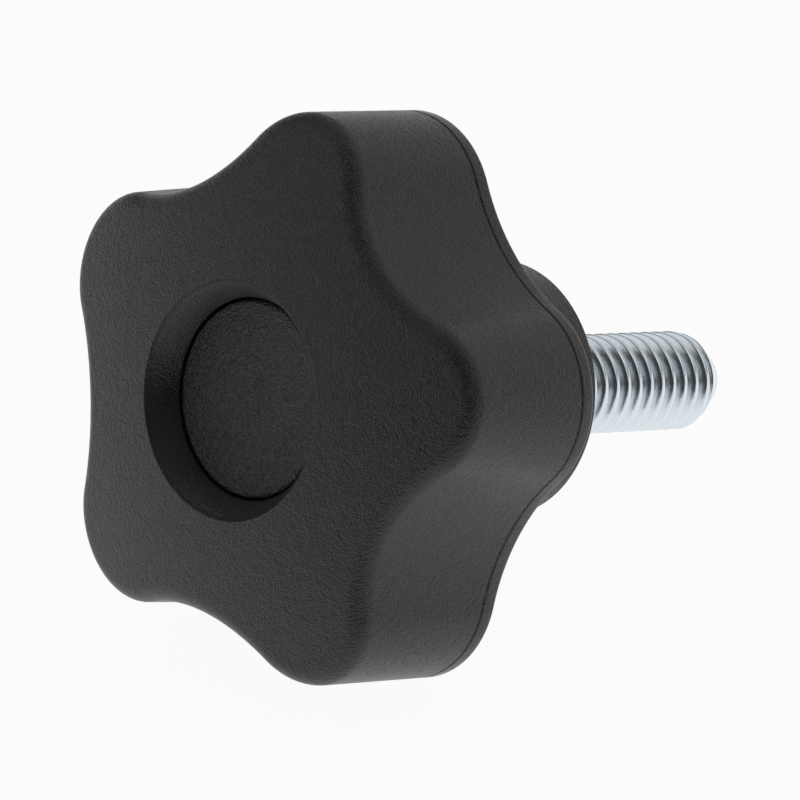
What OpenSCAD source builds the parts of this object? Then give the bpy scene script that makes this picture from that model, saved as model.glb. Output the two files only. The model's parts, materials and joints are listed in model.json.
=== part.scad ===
// Five-lobed star knob with a moulded-in M6 stud, lying on two lobes and the stud's tip.
// Each piece is drawn on the knob's own axis: z = 0 is the rim of the front recess and
// the stud points along +z. at_rest() then lays the whole knob down on the plane z = 0.

/* [Grip] */
// Radius over the lobes at the back edge
grip_r = 16.5; // [15.5:0.1:18]
// Distance from the axis to the bottom of a valley at the back edge
valley_r = 13.4; // [12.8:0.1:14]
// Radius of a lobe's end at the back edge
lobe_r = 5.8; // [5.3:0.1:6.2]
// How far the lobes draw in from the back edge to the front
lobe_draft = 0.05; // [0:0.05:0.3]
// How far the valleys draw in from the back edge to the front
valley_draft = 0.75; // [0.4:0.05:0.9]
// How much tighter a lobe's end is at the front
lobe_tighten = 1.05; // [0.7:0.05:1.3]
// Depth of the grip from the recess rim to the back edge
grip_depth = 11.85; // [10:0.05:15]
// Radius of the sphere that crowns the front face
crown_r = 53; // [40:1:90]
// Rounding between the front face and the side wall
front_round = 1.2; // [0.8:0.1:1.5]
// Height of the smooth lip behind the parting line
lip_h = 0.95; // [0.6:0.05:1.5]
// Width of the parting line
seam_w = 0.2; // [0.1:0.02:0.3]
// Depth of the parting line
seam_depth = 0.12; // [0.05:0.01:0.2]

/* [Hub] */
// Diameter of the hub behind the grip
hub_d = 14.8; // [13:0.1:18]
// Length of the hub behind the grip's back edge
hub_len = 10.5; // [6:0.1:16]
// Chamfer round the hub's end face
hub_chamfer = 0.2; // [0.1:0.1:0.8]
// How much wider than the thread the hub's mouth is, on each side
mouth_gap = 0.3; // [0.1:0.05:0.8]
// Depth of the hub's mouth
mouth_depth = 0.5; // [0.2:0.1:1.5]

/* [Cap] */
// Diameter of the front recess at its rim
recess_d = 13.5; // [13:0.1:15]
// How far the cap's face lies below the rim
cap_sink = 1.7; // [1.2:0.1:2.4]
// Diameter of the cap's face
cap_d = 10.9; // [9.5:0.1:11.5]
// Radial gap round the cap's face
cap_gap = 0.22; // [0.1:0.01:0.4]
// Thickness of the cap
cap_t = 2; // [1.6:0.1:3]
// Thickness of the cap's face ahead of its press rim
cap_face_t = 0.8; // [0.5:0.1:1.2]

/* [Stud] */
// Major diameter of the M6 thread as rolled
thread_d = 5.85; // [5.8:0.01:5.97]
// Pitch of the thread
thread_pitch = 1; // [0.8:0.05:1.25]
// Depth of the thread
thread_depth = 0.54; // [0.4:0.01:0.6]
// Width of the thread's crest
crest_w = 0.18; // [0.12:0.01:0.3]
// Length of the stud beyond the hub, with its point
stud_len = 17.1; // [12:0.1:30]
// Length of the stud's tapered point
point_len = 1.85; // [1:0.05:2.5]
// Diameter of the stud's flat end
point_d = 3.6; // [3:0.1:4.5]
// Diameter of the plain shank inside the hub
shank_d = 5.35; // [5:0.05:5.7]
// Width of the stud's hexagon head across its flats
head_af = 9.6; // [8:0.1:9.8]
// Height of the stud's hexagon head
head_h = 4; // [3:0.1:5]

/* [Hidden] */
$fn = 96;

lobes = 5;
half_pitch = 180 / lobes;        // angle from a lobe to the next valley
lobe_steps = 14;                 // facets round one lobe
valley_steps = 10;               // facets round one valley
round_steps = 6;                 // facets across the front rounding
crown_rings = [1, 0.8, 0.62, 0.4]; // rings of the crowned face, as shares of its outline
flank = 30;                      // slope of a thread flank from square to the axis
overlap = 1;                     // how far one solid runs into another of its own node
hex_corner = 1 / cos(30);        // corner radius over flat radius of a hexagon

hub_end = grip_depth + hub_len;
cap_floor = cap_sink + cap_t;
seat_r = cap_d / 2 + cap_gap;
recess_r = recess_d / 2;
head_end = cap_floor + head_h;
stud_end = hub_end + stud_len;
point_start = stud_end - point_len;
turns = floor((point_start - crest_w - hub_end) / thread_pitch);
thread_start = point_start - crest_w - turns * thread_pitch;

// ---- Star outline: round lobes joined by tangent valleys ----

// Radius of the valley arc that touches both lobes beside it
function valley_arc(outer, inner, lobe) =
    let (c = outer - lobe)
    (lobe * lobe - c * c - inner * inner + 2 * c * inner * cos(half_pitch))
    / (2 * inner - 2 * c * cos(half_pitch) - 2 * lobe);

// Points of one arc, each with its outward direction: side is 1 on a lobe, -1 in a valley
function arc(centre, radius, from, to, steps, side) =
    [for (i = [0 : steps - 1])
        let (a = from + (to - from) * i / steps, n = [cos(a), sin(a)])
        [centre + radius * n, side * n]];

// The whole outline, counter-clockwise from the start of the first lobe
function star(outer, inner, lobe) =
    let (v = valley_arc(outer, inner, lobe),
         c = outer - lobe,
         d = inner + v,
         side = sign(v), // a valley shallower than the lobes' common tangent bulges outwards
         reach = atan2(side * d * sin(half_pitch), side * (d * cos(half_pitch) - c)))
    [for (i = [0 : lobes - 1])
        let (at = 2 * half_pitch * i, va = at + half_pitch)
        each concat(
            arc(c * [cos(at), sin(at)], lobe, at - reach, at + reach, lobe_steps, 1),
            arc(d * [cos(va), sin(va)], v, at + reach + 180, va + 180 + half_pitch - reach,
                valley_steps, -1))];

// ---- Grip surface ----

// Height of the crowned face at radius r
function crown(r) = sqrt(crown_r ^ 2 - recess_r ^ 2) - sqrt(crown_r ^ 2 - r ^ 2);

// A point of the front rounding: turn runs from 0 on the wall to 1 on the face
function round_point(point, dir, turn) =
    let (centre = point - front_round * dir,
         slope = asin(centre * dir / crown_r),
         end = centre + front_round * sin(slope) * dir,
         height = crown(norm(end)) + front_round * cos(slope),
         a = turn * (90 - slope))
    [each centre + front_round * cos(a) * dir, height - front_round * sin(a)];

// A point of the drafted wall at height z, sunk by depth
function wall_point(front, back, dir, z, depth) =
    let (f = (z - front.z) / (grip_depth - front.z),
         p = [front.x, front.y] * (1 - f) + back * f)
    [each p - depth * dir, z];

front_outline = star(grip_r - lobe_draft, valley_r - valley_draft, lobe_r - lobe_tighten);
back_outline = star(grip_r, valley_r, lobe_r);
points_round = len(front_outline);
seam_z = grip_depth - lip_h;
seam_profile = [[seam_z + seam_w / 2, 0], [seam_z, seam_depth], [seam_z - seam_w / 2, 0]];

face_ring = [for (o = front_outline) round_point(o[0], o[1], 1)];
grip_rings = concat(
    [[for (o = back_outline) [each o[0], grip_depth]]],
    [for (s = seam_profile) [for (i = [0 : points_round - 1])
        wall_point(round_point(front_outline[i][0], front_outline[i][1], 0),
            back_outline[i][0], front_outline[i][1], s[0], s[1])]],
    [for (k = [0 : round_steps - 1])
        [for (o = front_outline) round_point(o[0], o[1], k / round_steps)]],
    [for (share = crown_rings) [for (p = face_ring)
        let (q = share * [p.x, p.y]) [each q, crown(norm(q))]]]);

// Closed skin through a stack of rings, with a flat back and a pointed front
module skin(rings, nose) {
    n = len(rings[0]);
    last = len(rings) - 1;
    sides = [for (k = [0 : last - 1], i = [0 : n - 1])
        let (j = (i + 1) % n, a = k * n, b = (k + 1) * n)
        each [[a + i, a + j, b + j], [a + i, b + j, b + i]]];
    front = [for (i = [0 : n - 1]) [last * n + i, last * n + (i + 1) % n, (last + 1) * n]];
    back = [[for (i = [n - 1 : -1 : 0]) i]];
    polyhedron(points = [each [for (r = rings) each r], nose], faces = concat(sides, front, back));
}

// ---- Resting place: two lobes side by side and the stud's point touch the plane ----

lobe_reach = (grip_r - lobe_r) * cos(half_pitch) + lobe_r;
touch_tip = atan2(lobe_reach - point_d / 2, stud_end - grip_depth);
touch_shoulder = atan2(lobe_reach - thread_d / 2, point_start - grip_depth);
tilt = min(touch_tip, touch_shoulder);
rest_height = lobe_reach * cos(tilt) + grip_depth * sin(tilt);
// How far the knob reaches to the front and to the back of its axis's start
front_reach = min([for (r = grip_rings, p = r)
    p.z * cos(tilt) + (p.x * cos(half_pitch) + p.y * sin(half_pitch)) * -sin(tilt)]);
back_reach = stud_end * cos(tilt) + point_d / 2 * sin(tilt);

module at_rest() {
    translate([0, -(front_reach + back_reach) / 2, rest_height])
        rotate([-90 - tilt, 0, 0])
            rotate([0, 0, 90 - half_pitch])
                children();
}

// ---- Pieces ----

module grip_body() color("#37352f") at_rest() difference() {
    union() {
        skin(grip_rings, [0, 0, crown(0)]);
        hub();
    }
    recess_cut();
    stud_pocket();
}

module hub() {
    rotate_extrude()
        polygon([
            [0, grip_depth - overlap],
            [hub_d / 2, grip_depth - overlap],
            [hub_d / 2, hub_end - hub_chamfer],
            [hub_d / 2 - hub_chamfer, hub_end],
            [0, hub_end]]);
}

// Sloping recess wall down to the straight seat of the cap
module recess_cut() {
    wall_slope = (recess_r - seat_r) / cap_sink;
    rotate_extrude()
        polygon([
            [0, cap_floor],
            [seat_r, cap_floor],
            [seat_r, cap_sink],
            [recess_r + overlap * wall_slope, -overlap],
            [0, -overlap]]);
}

// Hole left by the moulded-in stud
module stud_pocket() {
    translate([0, 0, cap_floor - overlap])
        cylinder(h = head_h + overlap, d = head_af * hex_corner, $fn = 6);
    translate([0, 0, head_end - overlap])
        cylinder(h = hub_end - head_end + 2 * overlap, d = shank_d);
    translate([0, 0, hub_end - mouth_depth])
        cylinder(h = mouth_depth + overlap, d = thread_d + 2 * mouth_gap);
}

// Disc whose wider rim presses into the straight seat
module centre_cap() color("#3a3833") at_rest() rotate_extrude()
    polygon([
        [0, cap_sink],
        [cap_d / 2, cap_sink],
        [cap_d / 2, cap_sink + cap_face_t],
        [seat_r, cap_sink + cap_face_t],
        [seat_r, cap_floor],
        [0, cap_floor]]);

// Hexagon head and plain shank inside the plastic, thread and tapered point outside it.
// A ring groove stands for each turn of the thread, so that the crests stay round walls
module threaded_stud() color("#c4ccd0") at_rest() difference() {
    union() {
        translate([0, 0, cap_floor])
            cylinder(h = head_h, d = head_af * hex_corner, $fn = 6);
        rotate_extrude()
            polygon([
                [0, head_end - overlap],
                [shank_d / 2, head_end - overlap],
                [shank_d / 2, thread_start - (thread_d - shank_d) / 2 * tan(flank)],
                [thread_d / 2, thread_start],
                [thread_d / 2, point_start],
                [point_d / 2, stud_end],
                [0, stud_end]]);
    }
    for (k = [0 : turns])
        translate([0, 0, thread_start + crest_w + k * thread_pitch])
            thread_groove();
}

// Groove from the end of one crest to the start of the next, cut from outside the crests
module thread_groove() {
    rim = crest_w / 2;
    width = thread_pitch - crest_w;
    rotate_extrude()
        polygon([
            [thread_d / 2 + rim, -rim * tan(flank)],
            [thread_d / 2 - thread_depth, thread_depth * tan(flank)],
            [thread_d / 2 - thread_depth, width - thread_depth * tan(flank)],
            [thread_d / 2 + rim, width + rim * tan(flank)]]);
}

grip_body();
centre_cap();
threaded_stud();
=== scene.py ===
import json
from math import asin, atan2, ceil, cos, hypot, pi, radians, sin, sqrt, tan

import bpy
from mathutils import Matrix, Vector


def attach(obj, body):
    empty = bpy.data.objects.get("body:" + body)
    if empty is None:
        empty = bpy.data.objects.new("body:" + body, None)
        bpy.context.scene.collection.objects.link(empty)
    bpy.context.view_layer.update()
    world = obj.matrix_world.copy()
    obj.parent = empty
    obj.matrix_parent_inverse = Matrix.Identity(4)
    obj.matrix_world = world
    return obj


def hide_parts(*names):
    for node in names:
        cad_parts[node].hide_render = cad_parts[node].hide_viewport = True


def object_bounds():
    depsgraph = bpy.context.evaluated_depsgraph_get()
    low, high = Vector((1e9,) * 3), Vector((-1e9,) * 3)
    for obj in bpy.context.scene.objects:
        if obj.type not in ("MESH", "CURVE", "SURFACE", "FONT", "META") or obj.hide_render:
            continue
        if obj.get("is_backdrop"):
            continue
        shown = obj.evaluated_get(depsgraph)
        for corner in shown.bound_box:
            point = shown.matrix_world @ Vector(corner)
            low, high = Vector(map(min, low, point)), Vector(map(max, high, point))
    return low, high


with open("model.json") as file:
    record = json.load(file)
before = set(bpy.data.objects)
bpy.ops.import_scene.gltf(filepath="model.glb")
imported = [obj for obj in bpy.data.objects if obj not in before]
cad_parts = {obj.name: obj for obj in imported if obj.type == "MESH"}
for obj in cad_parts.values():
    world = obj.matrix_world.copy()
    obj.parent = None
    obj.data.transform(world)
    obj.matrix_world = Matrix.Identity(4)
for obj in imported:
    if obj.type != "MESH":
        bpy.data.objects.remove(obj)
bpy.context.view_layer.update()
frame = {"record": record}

mm = 0.001
turn = 2 * pi


def mountNamed(name):
    return next(m for m in frame["record"]["mounts"] if m["name"] == name)


# every piece is first drawn on the knob's own axis, in millimetres: z = 0 at the rim of the
# front recess, the stud along +z, one lobe along +y and the floor below two lobes on -y
hubEnd = 22.35  # from the recess rim to the hub's end face
studAxis = Vector(mountNamed("stud")["axis"]).normalized()
studPoint = Vector(mountNamed("stud")["pos_m"])
seatPoint = Vector(mountNamed("hub_seat")["pos_m"])
seatCentre = studPoint + studAxis * (seatPoint - studPoint).dot(studAxis)
rimCentre = seatCentre - studAxis * hubEnd * mm
upward = studAxis.cross(Vector((1, 0, 0)))
if upward.z < 0:
    upward = -upward
across = upward.cross(studAxis)
knobPlace = Matrix((
    (across.x, upward.x, studAxis.x, rimCentre.x),
    (across.y, upward.y, studAxis.y, rimCentre.y),
    (across.z, upward.z, studAxis.z, rimCentre.z),
    (0, 0, 0, 1))) @ Matrix.Scale(mm, 4)
print("frame read, knob axis", tuple(round(v, 4) for v in studAxis))


class Wire:  # a socket that adds Math nodes when it meets an operator
    def __init__(self, graph, socket):
        self.graph = graph
        self.socket = socket

    def maths(self, operation, *others):
        values = dict(enumerate((self,) + others))
        return self.graph.node("ShaderNodeMath", {"operation": operation}, values)

    def __add__(self, other):
        return self.maths("ADD", other)

    def __radd__(self, other):
        return self.maths("ADD", other)

    def __sub__(self, other):
        return self.maths("SUBTRACT", other)

    def __rsub__(self, other):
        return self.graph.node("ShaderNodeMath", {"operation": "SUBTRACT"}, {0: other, 1: self})

    def __mul__(self, other):
        return self.maths("MULTIPLY", other)

    def __rmul__(self, other):
        return self.maths("MULTIPLY", other)

    def __truediv__(self, other):
        return self.maths("DIVIDE", other)

    def clamped(self, low=0, high=1):
        return self.maths("MAXIMUM", low).maths("MINIMUM", high)

    def smoothed(self):  # eases a value between 0 and 1 at both ends
        return self * self * (3 - 2 * self)


class Graph:
    def __init__(self, tree):
        self.tree = tree

    def node(self, kind, settings=None, sockets=None, output=0):
        made = self.tree.nodes.new(kind)
        for name, value in (settings or {}).items():
            setattr(made, name, value)
        for name, value in (sockets or {}).items():
            if isinstance(value, Wire):
                self.tree.links.new(value.socket, made.inputs[name])
            else:
                made.inputs[name].default_value = value
        return Wire(self, made.outputs[output]) if len(made.outputs) else made

    def other(self, wire, output):  # another output of the same node
        return Wire(self, wire.socket.node.outputs[output])


creaseAngle = radians(38)  # sharper edges than this keep their crease in the shading


def meshPiece(name, points, faces):
    mesh = bpy.data.meshes.new(name)
    mesh.from_pydata(points, [], faces)
    mesh.transform(knobPlace)
    mesh.update()
    mesh.polygons.foreach_set("use_smooth", [True] * len(mesh.polygons))
    mesh.set_sharp_from_angle(angle=creaseAngle)
    piece = bpy.data.objects.new(name, mesh)
    bpy.context.scene.collection.objects.link(piece)
    return piece


def between(a, b, share):
    return tuple(p + (q - p) * share for p, q in zip(a, b))


def circleRing(base, radius, z):  # a round ring with its points at the base ring's angles
    return [(x / hypot(x, y) * radius, y / hypot(x, y) * radius, z) for x, y in base]


def hexRing(base, flat, z):  # a hexagon with its points at the base ring's angles
    ring = []
    for x, y in base:
        a = atan2(y, x)
        r = flat / cos((a + pi / 6) % (pi / 3) - pi / 6)
        ring.append((cos(a) * r, sin(a) * r, z))
    return ring


def stackFaces(ringCount, pointCount, closed):
    faces = []
    for k in range(ringCount if closed else ringCount - 1):
        a = k * pointCount
        b = (k + 1) % ringCount * pointCount
        for i in range(pointCount):
            j = (i + 1) % pointCount
            faces.append((a + i, b + i, b + j, a + j))
    return faces


def roundedLine(corners, steps=5):  # (r, z, radius) corners turned into a line with round corners
    line = []
    for k, (r, z, radius) in enumerate(corners):
        here = Vector((r, z))
        spare = radius * 0.4  # a point this far past the corner keeps the shading beside it flat
        if not radius or k in (0, len(corners) - 1):
            line.append(tuple(here))
            continue
        inward = (Vector(corners[k - 1][:2]) - here).normalized()
        onward = (Vector(corners[k + 1][:2]) - here).normalized()
        half = inward.angle(onward) / 2
        reach = radius / tan(half)
        centre = here + (inward + onward).normalized() * radius / sin(half)
        start = (here + inward * reach - centre).normalized()
        end = (here + onward * reach - centre).normalized()
        line.append(tuple(here + inward * (reach + spare)))
        line += [tuple(centre + start.slerp(end, s / steps) * radius) for s in range(steps + 1)]
        line.append(tuple(here + onward * (reach + spare)))
    return line


grip = {
    "lobes": 5,
    "lobeReach": 16.5,        # over the lobes at the back edge
    "valleyReach": 13.4,      # to the bottom of a valley at the back edge
    "lobeRadius": 5.8,
    "lobeDraft": 0.05,        # all three are smaller at the front by these
    "valleyDraft": 0.75,
    "lobeTighten": 1.05,
    "depth": 11.85,           # recess rim to back edge
    "crownRadius": 53,
    "frontRound": 1.2,
    "lip": 0.95,              # back edge to parting line
    "seamWidth": 0.2,
    "seamDepth": 0.09,
    "seamShoulder": 0.08,     # round edges and round bottom of the parting line
    "seamRoot": 0.05,
    "backRound": 0.19,
    "hubRadius": 7.4,
    "hubRoot": 0.4,           # round corner between the hub and the flat back
    "hubChamfer": 0.2,
    "hubRound": 0.1,
    "recessRadius": 6.75,
    "recessCollar": 1.5,      # width of the round border of the recess
    "rimRound": 0.08,
    "wallSwell": 0.14,        # the recess wall swells a little below its rim
    "swellShare": 0.3,        # of the way down the wall
    "capSink": 1.7,
    "seatRadius": 5.67,
    "seatRound": 0.16,
    "seatFloor": 3.7,
    "headFlat": 4.8,
    "headEnd": 7.7,
    "shankRadius": 2.675,
    "mouthRadius": 3.225,
    "mouthDepth": 0.5,
    "lobeSteps": 44,
    "valleySteps": 32,
    "frontSteps": 10,
    "backSteps": 4,
}
halfPitch = pi / grip["lobes"]


def starOutline(reach, valley, lobeRadius):  # points and outward directions, from the top lobe
    lobeAt = reach - lobeRadius
    ch = cos(halfPitch)
    valleyRadius = ((lobeRadius ** 2 - lobeAt ** 2 - valley ** 2 + 2 * lobeAt * valley * ch)
                    / (2 * valley - 2 * lobeAt * ch - 2 * lobeRadius))
    valleyAt = valley + valleyRadius
    lobeTurn = atan2(valleyAt * sin(halfPitch), valleyAt * ch - lobeAt)
    outline = []
    for i in range(grip["lobes"]):
        at = pi / 2 + 2 * halfPitch * i
        valleyTurn = at + halfPitch
        for s in range(grip["lobeSteps"]):
            a = at - lobeTurn + 2 * lobeTurn * s / grip["lobeSteps"]
            n = (cos(a), sin(a))
            point = (lobeAt * cos(at) + lobeRadius * n[0], lobeAt * sin(at) + lobeRadius * n[1])
            outline.append((point, n))
        first = at + lobeTurn + pi
        last = valleyTurn + pi + halfPitch - lobeTurn
        for s in range(grip["valleySteps"]):
            a = first + (last - first) * s / grip["valleySteps"]
            n = (cos(a), sin(a))
            point = (valleyAt * cos(valleyTurn) + valleyRadius * n[0],
                     valleyAt * sin(valleyTurn) + valleyRadius * n[1])
            outline.append((point, (-n[0], -n[1])))
    return outline


def crownHeight(r):
    crown = grip["crownRadius"]
    return sqrt(crown ** 2 - grip["recessRadius"] ** 2) - sqrt(crown ** 2 - r ** 2)


def roundPoint(point, n, share):  # share runs from 0 on the wall to 1 on the crowned face
    radius = grip["frontRound"]
    centre = (point[0] - radius * n[0], point[1] - radius * n[1])
    slope = asin((centre[0] * n[0] + centre[1] * n[1]) / grip["crownRadius"])
    end = (centre[0] + radius * sin(slope) * n[0], centre[1] + radius * sin(slope) * n[1])
    height = crownHeight(hypot(*end)) + radius * cos(slope)
    a = share * (pi / 2 - slope)
    out = radius * cos(a)
    return (centre[0] + out * n[0], centre[1] + out * n[1], height - radius * sin(a))


def hubRings(base):  # from the shank's hole out over the hub, down its side and onto the flat back
    g = grip
    mouthFloor = hubEnd - g["mouthDepth"]
    line = roundedLine([
        (g["shankRadius"], g["headEnd"], 0),
        (g["shankRadius"], mouthFloor, 0),
        (g["mouthRadius"], mouthFloor, 0),
        (g["mouthRadius"], hubEnd, g["hubRound"]),
        (g["hubRadius"] - g["hubChamfer"], hubEnd, g["hubRound"]),
        (g["hubRadius"], hubEnd - g["hubChamfer"], g["hubRound"]),
        (g["hubRadius"], g["depth"], g["hubRoot"]),
        (g["hubRadius"] + 2 * g["hubRoot"], g["depth"], 0)])
    return [circleRing(base, r, z) for r, z in line]


def recessLine():  # the crowned face's inner edge, the sloping wall and the cap's seat
    g = grip
    collar = g["recessRadius"] + g["recessCollar"]
    wallSlope = (g["recessRadius"] - g["seatRadius"]) / g["capSink"]
    swellDepth = g["capSink"] * g["swellShare"]
    return roundedLine([
        (collar, crownHeight(collar), 0),
        (g["recessRadius"], 0, g["rimRound"]),
        (g["recessRadius"] - swellDepth * wallSlope - g["wallSwell"], swellDepth, 0),
        (g["seatRadius"], g["capSink"], g["seatRound"]),
        (g["seatRadius"], g["seatFloor"], 0)])


def gripRings():
    g = grip
    front = starOutline(g["lobeReach"] - g["lobeDraft"], g["valleyReach"] - g["valleyDraft"],
                        g["lobeRadius"] - g["lobeTighten"])
    back = starOutline(g["lobeReach"], g["valleyReach"], g["lobeRadius"])
    base = [p for p, n in back]
    edge = [roundPoint(p, n, 0) for p, n in front]
    face = [roundPoint(p, n, 1) for p, n in front]

    def wallRing(z, sunk=0):
        ring = []
        for (x, y, top), (b, n) in zip(edge, back):
            f = (z - top) / (g["depth"] - top)
            ring.append((x + (b[0] - x) * f - sunk * n[0], y + (b[1] - y) * f - sunk * n[1], z))
        return ring

    rings = hubRings(base)
    # over the back to the star's edge, with the rings closer near it, then round the edge
    rim = [(p[0] - g["backRound"] * n[0], p[1] - g["backRound"] * n[1], g["depth"]) for p, n in back]
    inner = rings[-1]
    for share in (0.2, 0.45, 0.7, 0.88, 0.97, 1):
        rings.append([between(a, b, share) for a, b in zip(inner, rim)])
    for s in range(1, g["backSteps"] + 1):
        a = pi / 2 * s / g["backSteps"]
        sunk = g["backRound"] * (1 - sin(a))
        rings.append(wallRing(g["depth"] - g["backRound"] * (1 - cos(a)), sunk))
    # down the lip, across the parting line and along the wall to the front
    seam = g["depth"] - g["lip"]
    half = g["seamWidth"] / 2
    beside = 2.5 * half
    rings.append(wallRing((g["depth"] - g["backRound"] + seam + half) / 2))
    seamLine = roundedLine([
        (0, seam + beside, 0),
        (0, seam + half, g["seamShoulder"]),
        (g["seamDepth"], seam, g["seamRoot"]),
        (0, seam - half, g["seamShoulder"]),
        (0, seam - beside, 0)], steps=3)
    rings += [wallRing(z, sunk) for sunk, z in seamLine]
    seamRing = rings[-1]
    for share in (0.06, 0.2, 0.4, 0.6, 0.8, 0.94):
        rings.append([between(a, b, share) for a, b in zip(seamRing, edge)])
    for s in range(g["frontSteps"]):
        rings.append([roundPoint(p, n, s / g["frontSteps"]) for p, n in front])
    # over the crowned face to the recess and down its wall to the cap's seat
    recess = recessLine()
    collarRing = circleRing(base, recess[0][0], 0)
    for share in (1, 0.97, 0.88, 0.72, 0.54, 0.36, 0.18, 0):
        ring = [between(a[:2], b[:2], share) for a, b in zip(collarRing, face)]
        rings.append([(x, y, crownHeight(hypot(x, y))) for x, y in ring])
    rings += [circleRing(base, r, z) for r, z in recess[1:]]
    # under the cap: the pocket of the stud's head
    rings.append(hexRing(base, g["headFlat"], g["seatFloor"]))
    rings.append(hexRing(base, g["headFlat"], g["headEnd"]))
    return rings


def makeGrip():
    rings = gripRings()
    points = [p for ring in rings for p in ring]
    return meshPiece("gripBody", points, stackFaces(len(rings), len(rings[0]), True))


cap = {
    "faceRadius": 5.45,
    "grooveDepth": 0.45,      # the dark gap round the face
    "grooveRound": 0.03,
    "thickness": 2.0,
    "edgeRound": 0.25,
    "innerRing": 0.8,         # radius of the ring that closes each side
    "steps": 160,
}


def makeCap():
    top = grip["capSink"]
    bottom = top + cap["thickness"]
    line = roundedLine([
        (cap["innerRing"], bottom, 0),
        (grip["seatRadius"], bottom, 0),
        (grip["seatRadius"], top + cap["grooveDepth"], cap["grooveRound"]),
        (cap["faceRadius"], top, cap["edgeRound"]),
        (cap["innerRing"], top, 0)])
    n = cap["steps"]
    base = [(cos(turn * i / n), sin(turn * i / n)) for i in range(n)]
    points = [p for r, z in line for p in circleRing(base, r, z)] + [(0, 0, bottom), (0, 0, top)]
    faces = stackFaces(len(line), n, False)
    last = (len(line) - 1) * n
    for i in range(n):
        j = (i + 1) % n
        faces.append((i, j, len(points) - 2))
        faces.append((last + j, last + i, len(points) - 1))
    return meshPiece("centreCap", points, faces)


stud = {
    "Major Radius": 2.925,
    "Thread Depth": 0.54,
    "Pitch": 1.0,
    "Thread Start": hubEnd,
    "Stud End": 39.45,
    "Point Length": 1.85,
    "Point Radius": 1.8,
    "Point Round": 0.2,
    "Shoulder Round": 0.06,
    "First Turn": 0.2408,     # turns the thread round its axis
    "Crest Share": 0.30,      # of the pitch
    "Root Share": 0.08,
    "Crest Round": 0.14,
    "Root Round": 0.4,
    "Shank Radius": grip["shankRadius"],
    "Head Flat": grip["headFlat"],
    "Head Start": grip["seatFloor"],
    "Head End": grip["headEnd"],
}
threadAround = 72
rowsPerPitch = 30  # rows fall on the thread's start and end, so that the sheet closes
sparePitches = 2   # at each end of the sheet, to close the solid
shankSides = 48
weldReach = 0.0015


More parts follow.
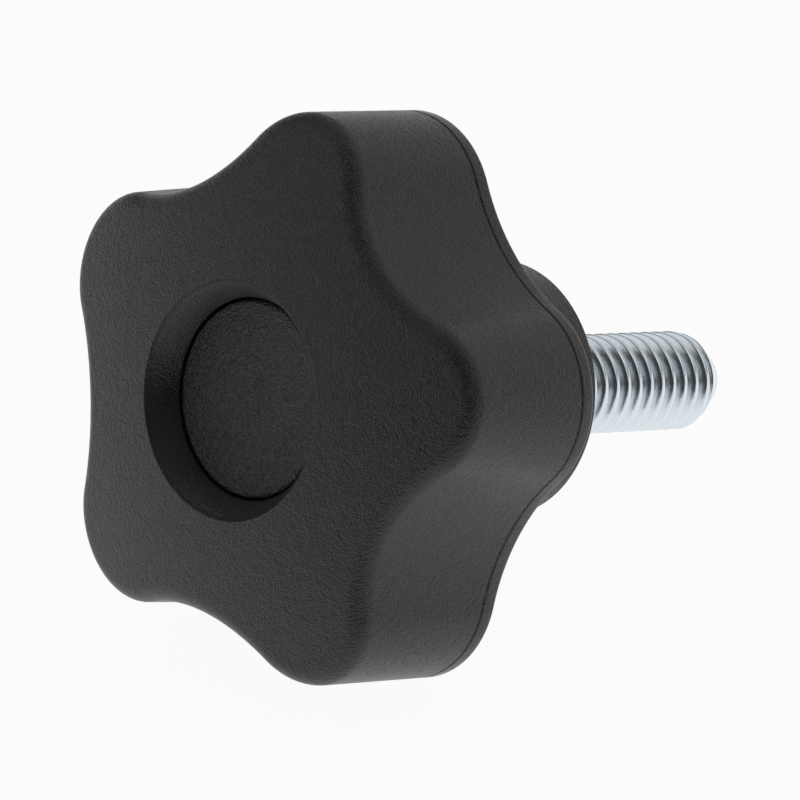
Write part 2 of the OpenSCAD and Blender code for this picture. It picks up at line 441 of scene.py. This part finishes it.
def threadTree(material):
    tree = bpy.data.node_groups.new("threadedStud", "GeometryNodeTree")
    for name, value in stud.items():
        made = tree.interface.new_socket(name=name, in_out="INPUT", socket_type="NodeSocketFloat")
        made.default_value = value
    tree.interface.new_socket(name="Geometry", in_out="OUTPUT", socket_type="NodeSocketGeometry")
    g = Graph(tree)
    first = g.node("NodeGroupInput")
    size = {name: g.other(first, name) for name in stud}
    pitch = size["Pitch"]
    start = size["Thread Start"]
    end = size["Stud End"]

    # a sheet whose rows follow the helix
    turns = ceil((stud["Stud End"] - stud["Thread Start"]) / stud["Pitch"]) + 2 * sparePitches
    grid = g.node("GeometryNodeMeshGrid", {}, {
        "Size X": 1, "Size Y": 1, "Vertices X": threadAround + 1, "Vertices Y": turns * rowsPerPitch + 1})
    place = g.node("ShaderNodeSeparateXYZ", {}, {0: g.node("GeometryNodeInputPosition")})
    aroundShare = place + 0.5
    row = start + pitch * ((g.other(place, "Y") + 0.5) * turns - sparePitches)
    sheetEnd = start + pitch * (turns - sparePitches)
    height = (row + pitch * aroundShare).maths("MAXIMUM", start).maths("MINIMUM", end)

    # the thread's section: a rounded crest, straight flanks and a rounded root
    phase = (height / pitch - aroundShare).maths("FRACT")
    fromRoot = (phase - 0.5).maths("ABSOLUTE")
    crestHalf = size["Crest Share"] / 2
    rootHalf = size["Root Share"] / 2
    rise = (fromRoot - rootHalf) / (0.5 - crestHalf - rootHalf)
    rootRadius = size["Major Radius"] - size["Thread Depth"]
    flank = (rootRadius + size["Thread Depth"] * rise).maths("SMOOTH_MAX", rootRadius, size["Root Round"])
    threadRadius = flank.maths("SMOOTH_MIN", size["Major Radius"], size["Crest Round"])

    # the tapered point with its rounded end
    left = end - height
    pointRound = size["Point Round"]
    slope = (size["Major Radius"] - size["Point Radius"]) / (size["Point Length"] - pointRound)
    dip = (pointRound - left).maths("MAXIMUM", 0)
    arc = (pointRound * pointRound - dip * dip).maths("MAXIMUM", 0).maths("SQRT")
    taper = size["Point Radius"] - pointRound + arc + slope * (left - pointRound).maths("MAXIMUM", 0)
    opening = (row / pitch - start / pitch + sparePitches).clamped()
    closing = ((sheetEnd - row) / (sheetEnd - end)).clamped()
    radius = threadRadius.maths("SMOOTH_MIN", taper, size["Shoulder Round"]) * (opening * closing)
    angle = (aroundShare + size["First Turn"]) * turn
    position = g.node("ShaderNodeCombineXYZ", {}, {
        0: radius * angle.maths("COSINE"), 1: radius * angle.maths("SINE"), 2: height})
    bent = g.node("GeometryNodeSetPosition", {}, {"Geometry": grid, "Position": position})

    # what the plastic hides: a plain shank and a hexagon head
    shankLength = start - size["Head End"]
    shank = g.node("GeometryNodeMeshCylinder", {}, {
        "Vertices": shankSides, "Radius": size["Shank Radius"], "Depth": shankLength})
    shankMiddle = g.node("ShaderNodeCombineXYZ", {}, {2: start - shankLength / 2})
    shankPlaced = g.node("GeometryNodeTransform", {}, {"Geometry": shank, "Translation": shankMiddle})
    headHeight = size["Head End"] - size["Head Start"]
    head = g.node("GeometryNodeMeshCylinder", {}, {
        "Vertices": 6, "Radius": size["Head Flat"] / cos(pi / 6), "Depth": headHeight})
    headMiddle = g.node("ShaderNodeCombineXYZ", {}, {2: size["Head End"] - headHeight / 2})
    headPlaced = g.node("GeometryNodeTransform", {}, {"Geometry": head, "Translation": headMiddle})

    smooth = g.node("GeometryNodeSetShadeSmooth", {}, {"Geometry": bent})
    merged = g.node("GeometryNodeMergeByDistance", {}, {"Geometry": smooth, "Distance": weldReach})
    joined = tree.nodes.new("GeometryNodeJoinGeometry")
    for part in (merged, shankPlaced, headPlaced):
        tree.links.new(part.socket, joined.inputs[0])
    real = g.node("GeometryNodeRealizeInstances", {}, {"Geometry": Wire(g, joined.outputs[0])})
    dressed = g.node("GeometryNodeSetMaterial", {}, {"Geometry": real, "Material": material})
    g.node("NodeGroupOutput", {}, {"Geometry": dressed})
    return tree


def makeStud(material):
    maker = bpy.data.objects.new("studMaker", bpy.data.meshes.new("studMaker"))
    bpy.context.scene.collection.objects.link(maker)
    modifier = maker.modifiers.new("thread", "NODES")
    modifier.node_group = threadTree(material)
    sockets = modifier.node_group.interface.items_tree
    ids = {item.name: item.identifier for item in sockets if item.in_out == "INPUT"}
    for name, value in stud.items():
        modifier[ids[name]] = float(value)
    bpy.context.view_layer.update()
    made = maker.evaluated_get(bpy.context.evaluated_depsgraph_get())
    mesh = bpy.data.meshes.new_from_object(made)
    mesh.name = "threadedStud"
    maker.modifiers.remove(modifier)
    bpy.data.objects.remove(maker)
    mesh.transform(knobPlace)
    piece = bpy.data.objects.new("threadedStud", mesh)
    bpy.context.scene.collection.objects.link(piece)
    return piece


def newMaterial(name):
    material = bpy.data.materials.new(name)
    material.use_nodes = True
    tree = material.node_tree
    tree.nodes.clear()
    return material, Graph(tree)


def noise(g, place, size, detail, roughness=0.5):  # size in millimetres
    return g.node("ShaderNodeTexNoise", {}, {
        "Vector": place, "Scale": 1 / (size * mm), "Detail": detail, "Roughness": roughness})


def mixed(g, share, first, second):  # two colours, each three numbers or a link
    colours = [c if isinstance(c, Wire) else c + (1,) for c in (first, second)]
    return g.node("ShaderNodeMix", {"data_type": "RGBA"}, {
        0: share, 6: colours[0], 7: colours[1]}, output=2)


def dotted(g, vector, direction):
    return g.node("ShaderNodeVectorMath", {"operation": "DOT_PRODUCT"}, {
        0: vector, 1: tuple(direction)}, output="Value")


plastic = {
    "colour": (0.0056, 0.0040, 0.0030),
    "fleckColour": (0.0185, 0.0145, 0.0118),
    "fleckContrast": 3.4,
    "fleckOffset": 1.5,
    "roughness": 0.36,
    "roughnessSpread": 0.14,
    "grainSize": 0.11,       # millimetres
    "grainDepth": 0.105,
    "coarseShare": 0.3,      # fine grain size to coarse grain size
    "cloudSize": 3,
}
capPlastic = dict(
    plastic, colour=(0.0150, 0.0124, 0.0106), fleckColour=(0.0385, 0.0338, 0.0300),
    grainSize=0.13, grainDepth=0.2)
lipFinish = {                # the strip between the parting line and the back edge
    "colour": (0.0120, 0.0100, 0.0086),
    "smoother": 0.06,        # taken off the roughness
    "grainLoss": 0.75,
    "start": 1.0,            # width over which the finish comes in at the parting line
    "end": 0.4,              # width over which it goes out again
    "past": 0.5,             # and where that ends, past the back edge
}
dishFinishAndPaintedLight = {               # the sloping wall of the recess: smoother grain, a lighter colour, and painted light that is palest at its top
    "colour": (0.0120, 0.0110, 0.0102),
    # colour of the painted light, strongest on the recess wall's top
    "paintedLightColour": (0.0780, 0.0770, 0.0750),
    "paintedLightReach": 6,          # the painted light on the recess wall is palest this far above the axis
    "grainLoss": 0.4,
    "edge": 0.2,
}


def plasticMaterial(name, look, moulded=False):
    material, g = newMaterial(name)
    place = g.other(g.node("ShaderNodeTexCoord"), "Object")
    grain = noise(g, place, look["grainSize"], 1)
    coarse = noise(g, place, look["grainSize"] / look["coarseShare"], 2)
    cloud = noise(g, place, look["cloudSize"], 3, 0.55)
    height = grain * 0.75 + coarse * 0.5
    fleck = (cloud * 0.5 + grain * look["fleckContrast"] - look["fleckOffset"]).clamped()
    colour = mixed(g, fleck, look["colour"], look["fleckColour"])
    rough = look["roughness"] + (coarse - 0.5) * look["roughnessSpread"]
    if moulded:  # the lip and the recess wall have a smoother finish and a lighter colour, and the recess wall has painted light
        fromRim = g.node("ShaderNodeVectorMath", {"operation": "SUBTRACT"}, {
            0: place, 1: tuple(rimCentre)})
        along = dotted(g, fromRim, studAxis / mm)
        distance = g.node("ShaderNodeVectorMath", {"operation": "LENGTH"}, {0: fromRim}, output="Value")
        reach = distance / mm
        fromAxis = (reach * reach - along * along).maths("MAXIMUM", 0).maths("SQRT")
        lipStart = (along - (grip["depth"] - grip["lip"])) / lipFinish["start"]
        lipEnd = (grip["depth"] + lipFinish["past"] - along) / lipFinish["end"]
        lip = lipStart.clamped() * lipEnd.clamped()
        dishSide = (grip["recessRadius"] - fromAxis) / dishFinishAndPaintedLight["edge"]
        dishFloor = (grip["capSink"] + dishFinishAndPaintedLight["edge"] - along) / dishFinishAndPaintedLight["edge"]
        dish = dishSide.clamped() * dishFloor.clamped()
        height = height * (1 - lipFinish["grainLoss"] * lip - dishFinishAndPaintedLight["grainLoss"] * dish)
        rough = rough - lipFinish["smoother"] * lip
        # painted light: the recess wall's colour is palest at its top and a little pale at its bottom,
        # standing in for the light falling there
        rise = dotted(g, fromRim, upward / (dishFinishAndPaintedLight["paintedLightReach"] * mm))
        paintedLight = rise.clamped() * 0.75 + rise.maths("ABSOLUTE") * 0.25
        dishPaintedLightColour = mixed(g, paintedLight, dishFinishAndPaintedLight["colour"], dishFinishAndPaintedLight["paintedLightColour"])
        colour = mixed(g, dish, colour, dishPaintedLightColour)
        colour = mixed(g, lip, colour, lipFinish["colour"])
    bump = g.node("ShaderNodeBump", {}, {
        "Height": height, "Strength": 1.0, "Distance": look["grainDepth"] * mm})
    surface = g.node("ShaderNodeBsdfPrincipled", {}, {
        "Base Color": colour, "Roughness": rough, "Normal": bump, "IOR": 1.5})
    g.node("ShaderNodeOutputMaterial", {}, {"Surface": surface})
    return material


zinc = {
    "colour": (0.67, 0.74, 0.79),
    "blueColour": (0.74, 0.80, 0.84),
    "roughness": 0.25,
    "roughnessSpread": 0.15,
    "fineSize": 0.25,        # millimetres
    "broadSize": 1.6,
    "fineDepth": 0.008,
}


def zincMaterial():
    material, g = newMaterial("zincPlatedSteel")
    place = g.other(g.node("ShaderNodeTexCoord"), "Object")
    fine = noise(g, place, zinc["fineSize"], 3)
    broad = noise(g, place, zinc["broadSize"], 2)
    colour = mixed(g, broad, zinc["colour"], zinc["blueColour"])
    rough = zinc["roughness"] + (fine - 0.5) * zinc["roughnessSpread"]
    bump = g.node("ShaderNodeBump", {}, {
        "Height": fine, "Strength": 0.5, "Distance": zinc["fineDepth"] * mm})
    surface = g.node("ShaderNodeBsdfPrincipled", {}, {
        "Base Color": colour, "Metallic": 1.0, "Roughness": rough, "Normal": bump})
    g.node("ShaderNodeOutputMaterial", {}, {"Surface": surface})
    return material


def putOnFrame(piece, node, material):
    piece.data.materials.clear()
    piece.data.materials.append(material)
    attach(piece, "root")
    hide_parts(node)
    print("piece", piece.name, len(piece.data.polygons), "faces")


putOnFrame(makeGrip(), "grip_body", plasticMaterial("gripPlastic", plastic, moulded=True))
putOnFrame(makeCap(), "centre_cap", plasticMaterial("capPlastic", capPlastic))
zincPlate = zincMaterial()
putOnFrame(makeStud(zincPlate), "threaded_stud", zincPlate)

low, high = (Vector(corner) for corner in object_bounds())
middle = (low + high) / 2

stage = {
    "reach": 1.2,            # metres, from the middle to each side of the floor
    "backdropHeight": 0.06,
    "colour": (0.86, 0.86, 0.86),
    "whiteness": 0.95,       # how far the camera sees it white, the rest being its lit colour
}


def makeFloor():  # a wide pale floor with a low backdrop all round it
    reach = stage["reach"]
    square = ((-reach, -reach), (reach, -reach), (reach, reach), (-reach, reach))
    corners = [(x, y, z) for z in (low.z, low.z + stage["backdropHeight"]) for x, y in square]
    walls = [((i + 1) % 4, i, i + 4, (i + 1) % 4 + 4) for i in range(4)]
    mesh = bpy.data.meshes.new("floor")
    mesh.from_pydata(corners, [], [(0, 1, 2, 3)] + walls)
    floor = bpy.data.objects.new("floor", mesh)
    bpy.context.scene.collection.objects.link(floor)
    material, g = newMaterial("paleFloor")
    path = g.node("ShaderNodeLightPath")
    mirrored = (g.other(path, "Is Glossy Ray") + g.other(path, "Is Transmission Ray")).clamped()
    matt = g.node("ShaderNodeBsdfDiffuse", {}, {"Color": stage["colour"] + (1,)})
    glow = g.node("ShaderNodeEmission", {}, {"Color": (1, 1, 1, 1), "Strength": 1.0})
    white = path * stage["whiteness"] + mirrored
    surface = g.node("ShaderNodeMixShader", {}, {0: white, 1: matt, 2: glow})
    g.node("ShaderNodeOutputMaterial", {}, {"Surface": surface})
    mesh.materials.append(material)
    floor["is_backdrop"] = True


# the light tent's bright walls: azimuth and elevation from the knob, the angles at which
# they start to fade and end, and strength
tentWalls = [
    {"azimuth": -47, "elevation": 42, "inner": 24, "outer": 40, "strength": 0.80},
    {"azimuth": 130, "elevation": 38, "inner": 28, "outer": 32, "strength": 0.68},
    {"azimuth": 192, "elevation": 35, "inner": 4, "outer": 58, "strength": 0.56},
]
tentGlow = 0.05  # between the walls


def towardOf(azimuth, elevation):
    a, e = radians(azimuth), radians(elevation)
    return Vector((sin(a) * cos(e), -cos(a) * cos(e), sin(e)))


def makeWorld():
    world = bpy.data.worlds.new("studio")
    bpy.context.scene.world = world
    world.use_nodes = True
    world.node_tree.nodes.clear()
    g = Graph(world.node_tree)
    direction = g.node("ShaderNodeTexCoord", output="Generated")
    glow = tentGlow
    for wall in tentWalls:
        facing = dotted(g, direction, towardOf(wall["azimuth"], wall["elevation"]))
        edge = cos(radians(wall["outer"]))
        share = ((facing - edge) / (cos(radians(wall["inner"])) - edge)).clamped().smoothed()
        glow = glow + wall["strength"] * share
    surface = g.node("ShaderNodeBackground", {}, {"Color": (1, 1, 1, 1), "Strength": glow})
    g.node("ShaderNodeOutputWorld", {}, {"Surface": surface})


camera = {
    "azimuth": 48.76,
    "elevation": 31.07,
    "roll": -5.95,
    "distance": 0.37926,
    "lens": 300,
    "aim": (-0.06, -3.78, -4.07),  # from the middle of the knob, in millimetres
}


def makeCamera():
    a, e, r = (radians(camera[k]) for k in ("azimuth", "elevation", "roll"))
    forward = Vector((-sin(a) * cos(e), cos(a) * cos(e), -sin(e)))
    level = Vector((cos(a), sin(a), 0))
    above = level.cross(forward)
    right = level * cos(r) + above * sin(r)
    up = above * cos(r) - level * sin(r)
    spot = middle + Vector(camera["aim"]) * mm - forward * camera["distance"]
    data = bpy.data.cameras.new("camera")
    data.lens = camera["lens"]
    data.sensor_width = 36
    data.clip_start = 0.01
    made = bpy.data.objects.new("camera", data)
    made.matrix_world = Matrix((
        (right.x, up.x, -forward.x, spot.x),
        (right.y, up.y, -forward.y, spot.y),
        (right.z, up.z, -forward.z, spot.z),
        (0, 0, 0, 1)))
    bpy.context.scene.collection.objects.link(made)
    bpy.context.scene.camera = made


makeFloor()
makeWorld()
makeCamera()
bpy.context.scene.view_settings.view_transform = "Standard"
print("stage, lights and camera set")
